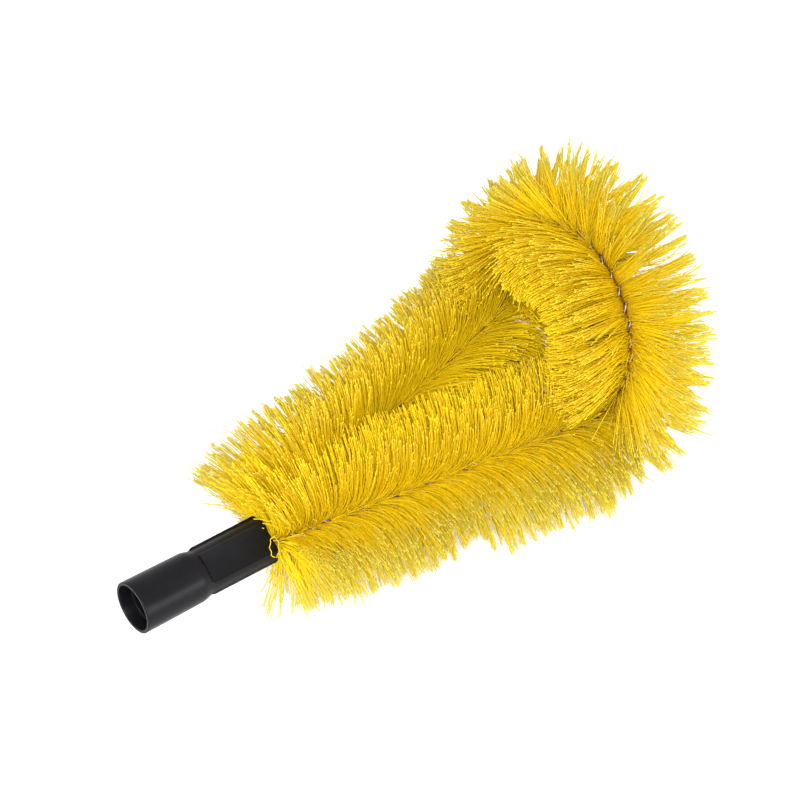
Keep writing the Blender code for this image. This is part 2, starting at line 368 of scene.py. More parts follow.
class Path:
    """The twisted wires' centre line, with the direction that lies in the bent loop's own surface.

    It runs from the right leg's end in the socket, over the head, to the left leg's end.
    """

    def __init__(self):
        left, slopes = rounded_exit(*bend_head(half_teardrop()))
        right = left * [1, -1, 1]
        self.points = np.concatenate([right, left[-2::-1]]) + loop_origin
        slopes = np.concatenate([slopes, slopes[-2::-1]])
        steps = np.linalg.norm(np.diff(self.points, axis=0), axis=1)
        self.at = np.concatenate([[0.0], np.cumsum(steps)])
        self.length = self.at[-1]
        self.exit_at = channel_depth - wire_end_gap
        self.leg_start = self.exit_at + bristle_start
        self.leg_end = self.at[np.argmax(slopes > 0)]
        self.turns = round(self.length / twist_pitch)
        self.station_spacing = self.length / self.turns / stations_per_turn
        self.tangents = unit(np.gradient(self.points, self.at, axis=0))
        normals = np.stack([-np.sin(slopes), np.zeros(len(slopes)), np.cos(slopes)], axis=1)
        self.sides = unit(np.cross(normals, self.tangents))

    def frames(self, s):
        """Centres, tangents, the loop's own side and up, and the twist's direction towards one wire."""
        centre, tangent, side = (
            np.stack([np.interp(s, self.at, values[:, i]) for i in range(3)], axis=-1)
            for values in (self.points, self.tangents, self.sides)
        )
        tangent = unit(tangent)
        side = unit(side - tangent * (side * tangent).sum(-1, keepdims=True))
        up = np.cross(tangent, side)
        turn = (2 * math.pi * self.turns * s / self.length)[..., None]
        return centre, tangent, side, up, np.cos(turn) * side + np.sin(turn) * up

    def sections(self):
        """Name, start and end of each stretch of bristles, as the frame's nodes have them."""
        right = np.linspace(self.leg_start, self.leg_end, leg_sections + 1)
        head = np.linspace(self.leg_end, self.length - self.leg_end, head_sections + 1)
        left = (self.length - right)[::-1]
        names = [f"right_leg_bristles_{i + 1}" for i in range(leg_sections)]
        names += [f"head_bristles_{i + 1}" for i in range(head_sections)]
        names += [f"left_leg_bristles_{i}" for i in range(leg_sections, 0, -1)]
        ends = np.concatenate([right, head[1:], left[1:]]) / self.station_spacing
        ends = (np.floor(ends) + 0.5) * self.station_spacing
        return list(zip(names, ends, ends[1:]))


path = Path()


def tip_place(s, angle):
    """Where a straight filament of full reach ends."""
    centre, _, side, up, _ = path.frames(s)
    return centre + (side * np.cos(angle)[:, None] + up * np.sin(angle)[:, None]) * reach


def image_frame(s):
    """Directions square to the camera's line: along the path at s, and out from it at the outer side."""
    _, tangent, side, _, _ = path.frames(s)
    view = view_direction()
    along = unit(tangent - view * (tangent @ view)[:, None])
    across = np.cross(along, view)
    return along, -across * np.sign((across * side).sum(-1))[:, None]


def at_edge(s, angle):
    """How nearly filaments point to the outer edge of the brush as the camera sees it."""
    centre = path.frames(s)[0]
    return np.clip(((tip_place(s, angle) - centre) * image_frame(s)[1]).sum(-1) / reach, 0, 1)


class Ribbons:
    """Slices of the bristles whose tips draw together on the outer side, with gaps between them."""

    def __init__(self, spacings, pulls, leans, breaks, seed):
        rng = np.random.default_rng(seed)
        places = np.cumsum(rng.uniform(*spacings, int(path.length / spacings[0])))
        for place in breaks:
            places = places[np.abs(places - place) > break_width * break_clearance]
            places = np.append(places, [place - break_width / 2, place + break_width / 2])
        self.s = np.sort(places[places < path.length])
        self.pull = rng.uniform(*pulls, len(self.s))
        self.lean = rng.uniform(*leans, len(self.s))
        self.length = rng.uniform(*ribbon_lengths, len(self.s))
        self.centre = path.frames(self.s)[0]
        self.along, self.across = image_frame(self.s)

    def nearest(self, s, angle):
        """The ribbon that each filament belongs to, and how far beside it the filament's tip is."""
        from_ribbon = tip_place(s, angle)[:, None] - self.centre
        beside = (from_ribbon * self.along).sum(-1)
        inward = (from_ribbon * self.across).sum(-1) < 0
        other = (np.abs(s[:, None] - self.s) > ribbon_range) | inward
        chosen = np.where(other, np.inf, np.abs(beside)).argmin(axis=1)
        return chosen, beside[np.arange(len(s)), chosen]

    def drawn(self, s, angle):
        """Where on the path the tips of filaments at s end up, before the tufts draw them in."""
        chosen, beside = self.nearest(s, angle)
        gain = ((tip_place(s + 1.0, angle) - tip_place(s, angle)) * self.along[chosen]).sum(-1)
        move = np.clip(-beside / np.maximum(gain, least_gain), -most_move, most_move)
        return s + (move * self.pull[chosen] + self.lean[chosen]) * at_edge(s, angle) ** edge_power


class Tufts:
    """Places along the wires and round them that the tips of the filaments nearby lean towards."""

    def __init__(self, spacing, degrees, pulls, power, seed):
        rng = np.random.default_rng(seed)
        self.spacing, self.spread, self.power = spacing, math.radians(degrees), power
        count = int(path.length / spacing * 2 * math.pi / self.spread)
        self.angle = rng.uniform(-math.pi, math.pi, count)
        self.s = ribbons.drawn(rng.uniform(0, path.length, count), self.angle)
        self.pull = rng.uniform(*pulls, count)
        self.length = rng.uniform(*tuft_lengths, count)

    def nearest(self, s, angle):
        """The tuft that each filament belongs to."""
        margin = tuft_window * self.spacing
        near = np.flatnonzero((self.s > s.min() - margin) & (self.s < s.max() + margin))
        along = (s[:, None] - self.s[near]) / self.spacing
        round_wire = wrapped(angle[:, None] - self.angle[near]) / self.spread
        return near[np.argmin(along**2 + round_wire**2, axis=1)]

    def gather(self, lines, s, angle, t, share):
        """Lines of points with their tips moved towards their tufts."""
        chosen = self.nearest(s, angle)
        shift = tip_place(self.s[chosen], self.angle[chosen]) - tip_place(s, angle)
        shift = shift * (self.pull[chosen] * share)[:, None]
        return lines + shift[:, None] * (t**self.power)[None, :, None]


ribbons = Ribbons(spacings=(2.6, 6.8), pulls=(0.6, 0.95), leans=(-1.1, 1.1), breaks=ribbon_breaks, seed=23)
big_tufts = Tufts(spacing=8.0, degrees=14.0, pulls=(0.2, 0.7), power=2.6, seed=21)
small_tufts = Tufts(spacing=2.6, degrees=4.5, pulls=(0.7, 1.0), power=1.7, seed=22)


def tube_mesh(name, lines, radii, sides, attributes):
    """Closed tubes round lines of points, in one mesh with a strip of UV map for each tube."""
    count, rings, _ = lines.shape
    tangents = unit(np.gradient(lines, axis=1))
    # A helper that is never nearly along the line
    steep = 0.8
    helper = np.where(np.abs(tangents[:, 0, 2:]) < steep, [[0.0, 0.0, 1.0]], [[1.0, 0.0, 0.0]])
    u = carried(tangents, unit(np.cross(tangents[:, 0], helper)))
    v = np.cross(tangents, u)
    turn = np.arange(sides) * 2 * math.pi / sides
    offsets = u[:, :, None] * np.cos(turn)[:, None] + v[:, :, None] * np.sin(turn)[:, None]
    verts = lines[:, :, None] + offsets * radii[:, :, None, None]
    first = (np.arange(count) * rings * sides)[:, None, None]
    ring = (np.arange(rings - 1) * sides)[None, :, None]
    side = np.arange(sides)[None, None, :]
    after = (side + 1) % sides
    a, b = first + ring + side, first + ring + after
    quads = np.stack([a, b, b + sides, a + sides], axis=-1).reshape(count, -1, 4)
    start_cap = first[:, 0] + np.arange(sides)[::-1]
    end_cap = first[:, 0] + (rings - 1) * sides + np.arange(sides)
    caps = np.stack([start_cap, end_cap], axis=1)
    per_tube = quads.shape[1]
    loops = np.concatenate([quads.reshape(count, -1), caps.reshape(count, -1)], axis=1).ravel()
    sizes = np.tile(np.concatenate([np.full(per_tube, 4), [sides, sides]]), count)
    starts = np.concatenate([[0], np.cumsum(sizes)[:-1]])
    mesh = bpy.data.meshes.new(name)
    mesh.vertices.add(verts.size // 3)
    mesh.vertices.foreach_set("co", (verts * MM).astype(np.float32).ravel())
    mesh.loops.add(len(loops))
    mesh.loops.foreach_set("vertex_index", loops.astype(np.int32))
    mesh.polygons.add(len(sizes))
    mesh.polygons.foreach_set("loop_start", starts.astype(np.int32))
    mesh.update(calc_edges=True)
    mesh.shade_smooth()
    layer = mesh.uv_layers.new(name="OFBake")
    layer.data.foreach_set("uv", strip_map(count, rings, sides).astype(np.float32).ravel())
    for key, values in attributes.items():
        attribute = mesh.attributes.new(key, "FLOAT", "POINT")
        wide = np.broadcast_to(values[:, :, None], (count, rings, sides))
        attribute.data.foreach_set("value", wide.astype(np.float32).ravel())
    return mesh


def carried(tangents, start):
    """Directions square to each tangent, carried along each line without spin."""
    current = start
    out = np.empty_like(tangents)
    for index in range(tangents.shape[1]):
        t = tangents[:, index]
        current = unit(current - t * (current * t).sum(-1, keepdims=True))
        out[:, index] = current
    return out


def strip_map(count, rings, sides):
    """UV places of every loop: each tube has an upright strip, with its two caps above it."""
    proportion = length_to_girth if count > 1 else 1.0
    columns = max(1, math.ceil(math.sqrt(count * proportion)))
    rows = math.ceil(count / columns)
    index = np.arange(count)
    x0 = (index % columns) / columns
    y0 = (index // columns) / rows
    width = (1 - 2 * strip_margin) / columns
    height = (1 - 3 * cap_share) / rows
    u = np.arange(sides + 1) / sides * width + strip_margin / columns
    v = np.arange(rings) / (rings - 1) * height
    quad_u = np.stack([u[:-1], u[1:], u[1:], u[:-1]], axis=-1)[None]
    quad_u = np.broadcast_to(quad_u, (rings - 1, sides, 4))
    quad_v = np.stack([v[:-1], v[:-1], v[1:], v[1:]], axis=-1)[:, None]
    quad_v = np.broadcast_to(quad_v, (rings - 1, sides, 4))
    turn = np.arange(sides) * 2 * math.pi / sides
    cap_height = cap_share / rows * cap_height_share
    cap_u = strip_margin / columns + width * (cap_centre + cap_half_width * np.cos(turn))
    cap_v = height + cap_share / rows + cap_height * np.sin(turn)
    cap_u = np.concatenate([cap_u[::-1], cap_u + width * cap_distance])
    cap_v = np.concatenate([cap_v[::-1], cap_v])
    one_u = np.concatenate([quad_u.ravel(), cap_u])
    one_v = np.concatenate([quad_v.ravel(), cap_v])
    return np.stack([one_u + x0[:, None], one_v + y0[:, None]], axis=-1)


def new_object(name, mesh, material):
    obj = bpy.data.objects.new(name, mesh)
    bpy.context.scene.collection.objects.link(obj)
    obj.data.materials.append(material)
    return obj


class Nodes:
    """Short calls for building a material's nodes."""

    def __init__(self, name):
        self.material = bpy.data.materials.new(name)
        self.material.use_nodes = True
        self.tree = self.material.node_tree
        self.shader = self.tree.nodes["Principled BSDF"]

    def add(self, kind, **settings):
        node = self.tree.nodes.new(kind)
        for key, value in settings.items():
            setattr(node, key, value)
        return node

    def link(self, source, target):
        self.tree.links.new(source, target)

    def ramp(self, source, stops):
        """A colour ramp from source, with (place, colour) stops."""
        node = self.add("ShaderNodeValToRGB")
        elements = node.color_ramp.elements
        while len(elements) < len(stops):
            elements.new(0.5)
        for element, (place, colour) in zip(elements, stops):
            element.position = place
            element.color = (*colour, 1.0)
        self.link(source, node.inputs["Fac"])
        return node.outputs["Color"]

    def noise(self, scale, detail=3.0):
        place = self.add("ShaderNodeTexCoord")
        node = self.add("ShaderNodeTexNoise")
        node.inputs["Scale"].default_value = scale
        node.inputs["Detail"].default_value = detail
        self.link(place.outputs["Object"], node.inputs["Vector"])
        return node.outputs["Fac"]

    def attribute(self, name):
        node = self.add("ShaderNodeAttribute", attribute_name=name)
        return node.outputs["Fac"]

    def mix(self, factor, first, second, blend="MIX"):
        """Two colours mixed; each argument is a socket or a constant."""
        node = self.add("ShaderNodeMix", data_type="RGBA", blend_type=blend)
        # The node also has sockets for numbers and vectors, so its colour sockets go by number
        sockets = (node.inputs[0], node.inputs[6], node.inputs[7])
        for socket, value in zip(sockets, (factor, first, second)):
            if hasattr(value, "is_linked"):
                self.link(value, socket)
            elif isinstance(value, tuple):
                socket.default_value = (*value, 1.0)
            else:
                socket.default_value = value
        return node.outputs[2]

    def span(self, source, low, high):
        """A number from 0 to 1 brought to low to high."""
        node = self.add("ShaderNodeMapRange")
        node.inputs["To Min"].default_value = low
        node.inputs["To Max"].default_value = high
        self.link(source, node.inputs["Value"])
        return node.outputs["Result"]

    def bump(self, height, strength, distance):
        """Fine relief on the whole surface; distance is in metres."""
        node = self.add("ShaderNodeBump")
        node.inputs["Strength"].default_value = strength
        node.inputs["Distance"].default_value = distance
        self.link(height, node.inputs["Height"])
        self.link(node.outputs["Normal"], self.shader.inputs["Normal"])


def filament_material():
    nodes = Nodes("yellow_filament")
    body = nodes.ramp(nodes.attribute("tint"), filament_yellows)
    # Painted shade, darker and browner towards each filament's root, multiplied onto its yellow
    roots = nodes.ramp(nodes.attribute("along"), root_painted_shade)
    colour = nodes.mix(1.0, body, roots, "MULTIPLY")
    # Painted shade: olive darkening towards the tips on the loop's outer side
    colour = nodes.mix(nodes.attribute("painted_tip_shade"), colour, olive_painted_tip_shade)
    nodes.link(colour, nodes.shader.inputs["Base Color"])
    gloss = nodes.span(nodes.noise(scale=900.0), low=0.34, high=0.52)
    nodes.link(gloss, nodes.shader.inputs["Roughness"])
    nodes.shader.inputs["IOR"].default_value = 1.49
    nodes.shader.inputs["Specular IOR Level"].default_value = 0.16
    return nodes.material


def wire_material():
    nodes = Nodes("galvanised_wire")
    spangle = nodes.noise(scale=700.0, detail=4.0)
    # Galvanised spangle, tinted with painted reflection of the yellow filaments and painted shade
    colour = nodes.ramp(spangle, wire_greys_with_painted_brown)
    nodes.link(colour, nodes.shader.inputs["Base Color"])
    nodes.shader.inputs["Metallic"].default_value = 1.0
    nodes.link(nodes.span(spangle, low=0.34, high=0.56), nodes.shader.inputs["Roughness"])
    nodes.bump(nodes.noise(scale=2500.0), strength=0.15, distance=0.00005)
    return nodes.material


def socket_material():
    nodes = Nodes("black_plastic")
    cloud = nodes.noise(scale=60.0, detail=5.0)
    colour = nodes.ramp(cloud, socket_blacks)
    nodes.link(colour, nodes.shader.inputs["Base Color"])
    gloss = nodes.span(nodes.noise(scale=220.0, detail=6.0), low=0.30, high=0.42)
    nodes.link(gloss, nodes.shader.inputs["Roughness"])
    nodes.shader.inputs["Specular IOR Level"].default_value = 0.14
    nodes.bump(nodes.noise(scale=3200.0, detail=4.0), strength=0.10, distance=0.00004)
    return nodes.material


def make_filaments(name, start, end, rng, material):
    """One stretch of filaments, each pinched between the wires and standing out on one side."""
    s = root_places(start, end, rng)
    count = len(s)
    centre, tangent, side, up, towards_wire = path.frames(s)
    angle, short = first_angles(s, side, up, towards_wire, rng)
    from_exit = np.minimum(s, path.length - s) - path.exit_at
    share = np.where(short, 0.0, np.clip(from_exit / parting_fade, least_parting, 1))
    angle, facing = parted(angle, side, up, share, rng)
    edge = at_edge(s, angle)
    outward = side * np.cos(angle)[:, None] + up * np.sin(angle)[:, None]
    near_neck = np.clip(1 - (from_exit - bristle_start) / fan_length, 0, 1)
    on_right = s < path.length / 2
    back = tangent * np.where(on_right, -1.0, 1.0)[:, None]
    back_lean, wild = leans_over_neck(outward, facing, near_neck, from_exit, on_right, short, rng)
    loose = np.where(rng.random(count) < loose_share, loose_spread, calm_spread - edge_calm * edge)
    lean = np.tan(np.radians(rng.normal(0, 1.0, count) * loose))
    beside_parting = bell(facing, *forward_bell) * on_right
    forward = near_neck * beside_parting * rng.uniform(*forward_leans, count)
    root_lean = back * (root_lean_share * back_lean - forward)[:, None]
    direction = unit(outward + tangent * lean[:, None] + root_lean)
    length = filament_lengths(s, angle, edge, outward, near_neck, short, wild, rng)
    length = clear_of_right_leg(length, centre, direction, outward, from_exit, on_right)
    t = np.linspace(0, 1, filament_rings)
    lines = centre[:, None] + direction[:, None] * (t[None, :, None] * length[:, None, None])
    swept = sweep_shares(s, facing, near_neck, rng)
    rise = 1 - np.exp(-t / sweep_rise)
    lines = lines - (back * head_sweep * swept[:, None])[:, None] * rise[None, :, None]
    sideways = unit(np.cross(direction, rng.normal(size=(count, 3))))
    bend = sideways * (rng.normal(0, bend_spread, count) * loose)[:, None]
    bend = bend + back * (back_lean * tip_lean_share * length)[:, None]
    lines = lines + bend[:, None] * (t**2)[None, :, None]
    drawn = ribbons.drawn(s, angle)
    shift = tip_place(drawn, angle) - tip_place(s, angle)
    lines = lines + shift[:, None] * (t**ribbon_power)[None, :, None]
    gathered = least_gathered + (1 - least_gathered) * edge**2
    for tufts in (big_tufts, small_tufts):
        lines = tufts.gather(lines, drawn, angle, t, gathered)
    lines = lines + crimp(direction, length, small_tufts.nearest(drawn, angle), t, rng)
    lines = kept_in_box(lines)
    if start < path.leg_start + path.station_spacing:
        # In place of two others, so that the count stays
        lines = np.concatenate([lines[:-2], hanging_loop()])
    thickness = rng.uniform(*thickness_range, count)[:, None]
    radii = np.full((count, filament_rings), filament_radius) * thickness
    attributes = {
        "tint": np.broadcast_to(rng.random(count)[:, None], (count, filament_rings)),
        "along": np.broadcast_to(t, (count, filament_rings)),
        "painted_tip_shade": painted_tip_shade_shares(angle, t, rng),
    }
    mesh = tube_mesh(name, lines, radii, filament_sides, attributes)
    piece = new_object(name, mesh, material)
    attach(piece, "root")
    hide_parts(name.replace("filaments", "bristles"))


def root_places(start, end, rng):
    """Where the filaments of a stretch stand on the path; next to the neck they are closer together."""
    count = int((end - start) * filaments_per_mm)
    s = rng.uniform(start, end, count)
    first = path.leg_start + fan_stretch
    least = path.exit_at + neck_gap
    if start < first:
        extra = rng.uniform(least, start + fan_thickening, fan_filaments)
    elif end > path.length - first:
        extra = path.length - rng.uniform(least, path.length - end + fan_thickening, fan_filaments)
    else:
        extra = []
    return np.sort(np.concatenate([s, extra]))


def first_angles(s, side, up, towards_wire, rng):
    """Which way each filament points from the gap between the wires, and which ones are short."""
    count = len(s)
    twist = np.arctan2((towards_wire * up).sum(-1), (towards_wire * side).sum(-1)) - math.pi / 2
    angle = twist + np.where(rng.random(count) < 0.5, 0.0, math.pi)
    angle = wrapped(angle + rng.normal(0, math.radians(angle_spread), count))
    bare = (s > bare_wire[0]) & (s < bare_wire[1])
    short = rng.random(count) < np.where(bare, bare_short_share, short_share)
    return np.where(short, rng.uniform(-math.pi, math.pi, count), angle), short


def parted(angle, side, up, share, rng):
    """Angles moved away from where the long bristles part, and how far each was from there."""
    view = view_direction()
    middle = np.arctan2(up @ view, side @ view)
    facing = wrapped(angle - middle)
    push = math.radians(parting) * bell(facing, parting_width)
    push = push * np.clip(rng.normal(*parting_pushes, len(angle)), *parting_limits) * share
    return wrapped(angle + np.sign(facing) * push), facing


def leans_over_neck(outward, facing, near_neck, from_exit, on_right, short, rng):
    """How far each filament leans back over the neck, and which few lean back further at random."""
    count = len(facing)
    raised = fan_lean * np.clip(outward[:, 2], 0, 1) ** fan_power - fan_forward
    lean = near_neck * raised * rng.uniform(*fan_range, count)
    lean = lean * np.where(on_right, right_leg_share, 1.0)
    below = bell(facing, *below_bell) * on_right
    lean = lean + near_neck * below * rng.uniform(*below_leans, count)
    wild = ~short & (rng.random(count) < wild_share * near_neck**3)
    lean = lean + wild * rng.uniform(*wild_leans, count)
    return np.minimum(lean, from_exit / lean_room - lean_slack), wild


def filament_lengths(s, angle, edge, outward, near_neck, short, wild, rng):
    """Full reach, more or less on the loop's outer side, less what the tufts and chance take off."""
    count = len(s)
    outer = np.clip(-outer_slope * np.cos(angle), 0, 1)
    length = reach * (1 + outer * (np.interp(s, *np.transpose(outer_reach)) - 1))
    length = length * big_tufts.length[big_tufts.nearest(s, angle)]
    length = length * (1 - length_loss * rng.random(count) ** 2)
    ribbon = ribbons.nearest(s, angle)[0]
    length = length * (1 + (ribbons.length[ribbon] - 1) * edge**2)
    length = np.where(short, length * rng.uniform(*short_lengths, count), length)
    towards_far_top = np.clip(outward @ unit(np.array(far_top)), 0, 1)
    length = length * (1 + far_top_growth * near_neck * towards_far_top**2)
    stray = rng.random(count) < stray_share
    length = np.where(stray, length * rng.uniform(*stray_lengths, count), length)
    return np.where(wild, length * rng.uniform(*wild_lengths, count), length)


def clear_of_right_leg(length, centre, direction, outward, from_exit, on_right):
    """Lengths, less on the left leg where filaments would stand through the right leg."""
    room = (2 * np.abs(centre[:, 1]) - legs_gap) / np.maximum(-direction[:, 1], least_crossing)
    meets = ~on_right & (from_exit < legs_close_until) & (outward[:, 2] < over_legs)
    return np.where(meets, np.minimum(length, np.maximum(room, least_length)), length)


def sweep_shares(s, facing, near_neck, rng):
    """How much each filament is swept towards the head: most where it faces the camera."""
    from_middle = np.abs(s - path.length / 2)
    swept = np.clip(from_middle / sweep_distance - sweep_start, 0, 1) * (1 - neck_sweep_loss * near_neck)
    return swept * bell(facing, sweep_width) * rng.uniform(*sweep_range, len(s))


def painted_tip_shade_shares(angle, t, rng):
    """How much painted shade each filament takes along its length, olive and darker: most at the tips on
    the loop's outer side.
    """
    outside = (1 - np.cos(angle)) / 2
    strength = outside**2 * rng.uniform(*painted_tip_shade_range, len(angle))
    return strength[:, None] * np.clip((t - painted_tip_shade_start) / painted_tip_shade_fade, 0, 1)[None]


def crimp(direction, length, tuft, t, rng):
    """The wave pressed into each filament; the waves of a tuft's filaments nest in each other."""
    count = len(length)
    chances = np.random.default_rng(crimp_seed).random((len(small_tufts.s), 4))[tuft]
    leans = chances[:, :3] - 0.5 + rng.normal(0, crimp_plane_spread, (count, 3))
    plane = unit(np.cross(direction, leans))
    phase = chances[:, 3] + rng.normal(0, crimp_phase_spread, count)
    turns = length[:, None] * t[None] / crimp_wave + phase[:, None]
    fade = np.minimum(t / crimp_fade, 1.0)[None]
    swing = crimp_height * np.sin(2 * math.pi * turns) * fade
    swing = swing * rng.uniform(*crimp_heights, count)[:, None]
    return plane[:, None] * swing[..., None]


def kept_in_box(lines):
    """Filaments made shorter where they would pass the floor or another side of the frame's box."""
    low, high = (np.array(corner) / MM for corner in cad_box)
    roots = lines[:, :1]
    offsets = lines - roots
    margin = filament_radius + floor_clearance
    limits = np.where(offsets > 0, high - margin, low + margin)
    with np.errstate(divide="ignore", invalid="ignore"):
        share = (limits - roots) / offsets
    # Where a line doesn't leave its root there is no limit: any share over 1 says so
    unlimited = 9.0
    share = np.nan_to_num(share, nan=unlimited, posinf=unlimited, neginf=unlimited)
    share = np.minimum(share.min(axis=(1, 2)), 1.0)
    return roots + offsets * share[:, None, None]


def hanging_loop():
    """Two filaments that hang over the neck's end on the near side and meet at their tips."""
    view = view_direction()
    across = unit(np.cross([0.0, 0.0, 1.0], view))
    down = np.cross(across, view)
    beside = unit(view - socket_axis * (view @ socket_axis))
    end = mouth_centre() + socket_axis * socket_length
    root = path.frames(np.array(path.exit_at + hang_root))[0]
    clear = beside * (neck_radius + hang_clear)
    over_rim = end + socket_axis * hang_ahead + clear
    top = end - socket_axis * hang_behind + clear + down * hang_drop
    t = np.linspace(0, 1, hang_stem_rings + 1)[:-1, None]
    stem = (1 - t) ** 2 * root + 2 * t * (1 - t) * over_rim + t**2 * top
    turn = np.linspace(0, math.pi, filament_rings - hang_stem_rings)[:, None]
    wave = hang_wave * np.sin(turn * hang_waves)
    low = top + down * hang_half_height * (1 - np.cos(turn))
    halves = []
    for hand in (-1, 1):
        wide = hand * (hang_half_width * np.sin(turn) + hang_half_gap) + wave
        halves.append(np.concatenate([stem, low + across * wide]))
    return np.array(halves)


def make_wires(material):
    """The two wires, each a helix round the path."""
    rings = path.turns * wire_rings_per_turn + 1
    s = np.linspace(0, path.length, rings)
    centre, _, _, _, towards_wire = path.frames(s)
    radii = np.full((1, rings), wire_radius)
    for number, hand in ((1, 1), (2, -1)):
        line = centre + towards_wire * twist_radius * hand
        mesh = tube_mesh(f"wire_{number}", line[None], radii, wire_sides, {})
        piece = new_object(f"wire_{number}", mesh, material)
        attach(piece, "root")
        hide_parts(f"twist_wire_{number}")


def smooth_step(x, low, high):
    t = np.clip((x - low) / (high - low), 0, 1)
    return t * t * (3 - 2 * t)


def flute_depths(angle):
    """How deep the flutes are at each angle round the neck, with their edges rounded."""
    away = neck_radius - flute_depth + flute_radius
    period = 2 * math.pi / flute_count
    off = np.mod(angle - math.pi / 2 + period / 2, period) - period / 2
    beside = away * np.sin(off)
    flute = away * np.cos(off) - np.sqrt(np.maximum(flute_radius**2 - beside**2, 0.0))
    # Beyond the flute's own circle it is put outside the neck, where it cuts nothing
    flute = np.where(np.abs(beside) < flute_radius, flute, neck_radius + flute_round * 4)
    gap = np.clip((neck_radius - flute) / flute_round, -30, 30)
    depth = flute_round * np.log1p(np.exp(gap))
    most = neck_radius - flute + flute_round * np.log(2)
    return np.minimum(depth, most) * (depth > least_flute)


def outer_radius(x, angle):
    """The socket's outside: a tapered sleeve, a rounded shoulder, and a neck with three flutes."""
    sleeve = mouth_radius + (sleeve_end_radius - mouth_radius) * np.clip(x / sleeve_length, 0, 1)
    shoulder = smooth_step(x, sleeve_length - shoulder_round, sleeve_length + cone_length)
    body = sleeve + (neck_radius - sleeve) * shoulder
    fade = smooth_step(x, flute_start, flute_start + flute_run_out)
    return body - flute_depths(angle) * fade


def socket_rows():
    """Places along the outside, closer together where the outline turns."""
    shoulder_end = sleeve_length + cone_length + shoulder_run_on
    sleeve = np.linspace(rim_round, sleeve_length - shoulder_round, sleeve_rows)
    shoulder = np.linspace(sleeve_length - shoulder_round, shoulder_end, shoulder_rows)
    neck = np.linspace(shoulder_end, socket_length - neck_end_round, neck_rows)
    return np.concatenate([sleeve[:-1], shoulder[:-1], neck])


def outer_rings(angle):
    """The socket's outside as (place, radii) rings: the rounded rim, the rows, the rounded neck end."""
    rounding = np.linspace(0, math.pi / 2, rounding_rows)
    rings = []
    for turn in rounding[:-1]:
        inset = rim_round * (1 - math.sin(turn))
        rings.append((rim_round * (1 - math.cos(turn)), outer_radius(0.0, angle) - inset))
    for x in socket_rows():
        rings.append((x, outer_radius(x, angle)))
    end = outer_radius(socket_length - neck_end_round, angle)
    for turn in rounding[1:]:
        place = socket_length - neck_end_round * (1 - math.sin(turn))
        rings.append((place, end - neck_end_round * (1 - math.cos(turn))))
    return rings


def inner_rings():
    """The socket's inside as (place, radius) rings: rim, lead-in, pole bore and the blind neck bore."""
    lead_in = mouth_radius - rim_wall
    rim = rim_round * rim_inner_share
    return [
        (0.0, lead_in + rim_round),
        (rim, lead_in + rim),
        (rim_round, lead_in),
        (lead_in_depth - lead_in_round, lead_in),
        (lead_in_depth, lead_in - lead_in_round),
        (lead_in_depth, bore_radius + bore_chamfer),
        (lead_in_depth + bore_chamfer, bore_radius),
        (sleeve_length, bore_radius),
        (sleeve_length, neck_bore_radius),
        (neck_bore_end, neck_bore_radius),
    ]


def make_socket(material):
    """The socket as rings of points: outside, neck end, and the bores from the mouth."""
    angle = np.linspace(0, 2 * math.pi, socket_steps, endpoint=False)
    bm = bmesh.new()
    outside = [ring_of_verts(bm, x, radius, angle) for x, radius in outer_rings(angle)]
    inside = [ring_of_verts(bm, x, np.full(socket_steps, radius), angle) for x, radius in inner_rings()]
    for first, second in zip(outside, outside[1:]):
        join_rings(bm, first, second)
    join_rings(bm, inside[0], outside[0])
    for first, second in zip(inside, inside[1:]):
        join_rings(bm, second, first)
    bm.faces.new(outside[-1])
    bm.faces.new(inside[-1][::-1])
    bmesh.ops.recalc_face_normals(bm, faces=bm.faces)
    mesh = bpy.data.meshes.new("socket")
    bm.to_mesh(mesh)
    bm.free()
    socket = new_object("socket", mesh, material)
    cut_channels(socket)
    place_on_axis(socket)
    socket.data.shade_smooth()
    socket.data.set_sharp_from_angle(angle=math.radians(sharp_angle))
    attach(socket, "root")
    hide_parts("pole_socket")


def ring_of_verts(bm, x, radius, angle):
    """A ring round local Z at height x."""
    places = zip(radius * np.cos(angle) * MM, radius * np.sin(angle) * MM)
    return [bm.verts.new((a, b, x * MM)) for a, b in places]


def join_rings(bm, first, second):
    for i in range(len(first)):
        j = (i + 1) % len(first)
        bm.faces.new((first[i], first[j], second[j], second[i]))


def cut_channels(socket):
    """The two holes in the neck's end that hold the wires."""
    for side in (-1, 1):
        bm = bmesh.new()
        bmesh.ops.create_cone(
            bm, cap_ends=True, segments=channel_segments, radius1=channel_radius * MM,
            radius2=channel_radius * MM, depth=2 * channel_depth * MM,
        )
        bm.transform(Matrix.Translation((0, side * leg_spacing * MM, socket_length * MM)))
        mesh = bpy.data.meshes.new("channel")
        bm.to_mesh(mesh)
        bm.free()
        tool = bpy.data.objects.new("channel", mesh)
        bpy.context.scene.collection.objects.link(tool)
        cut = socket.modifiers.new("channel", "BOOLEAN")
        cut.operation = "DIFFERENCE"
        cut.solver = "EXACT"
        cut.object = tool
        bpy.context.view_layer.update()
        evaluated = socket.evaluated_get(bpy.context.evaluated_depsgraph_get())
        whole = bpy.data.meshes.new_from_object(evaluated)
        socket.modifiers.clear()
        socket.data = whole
        bpy.data.objects.remove(tool, do_unlink=True)


def place_on_axis(socket):
    """Turns a shape made round local Z onto the socket's axis, with its mouth in place."""
    turn = Matrix.Rotation(math.pi / 2 + tilt, 4, "Y")
    place = Matrix.Translation(Vector(mouth_centre() * MM))
    socket.data.transform(place @ turn)


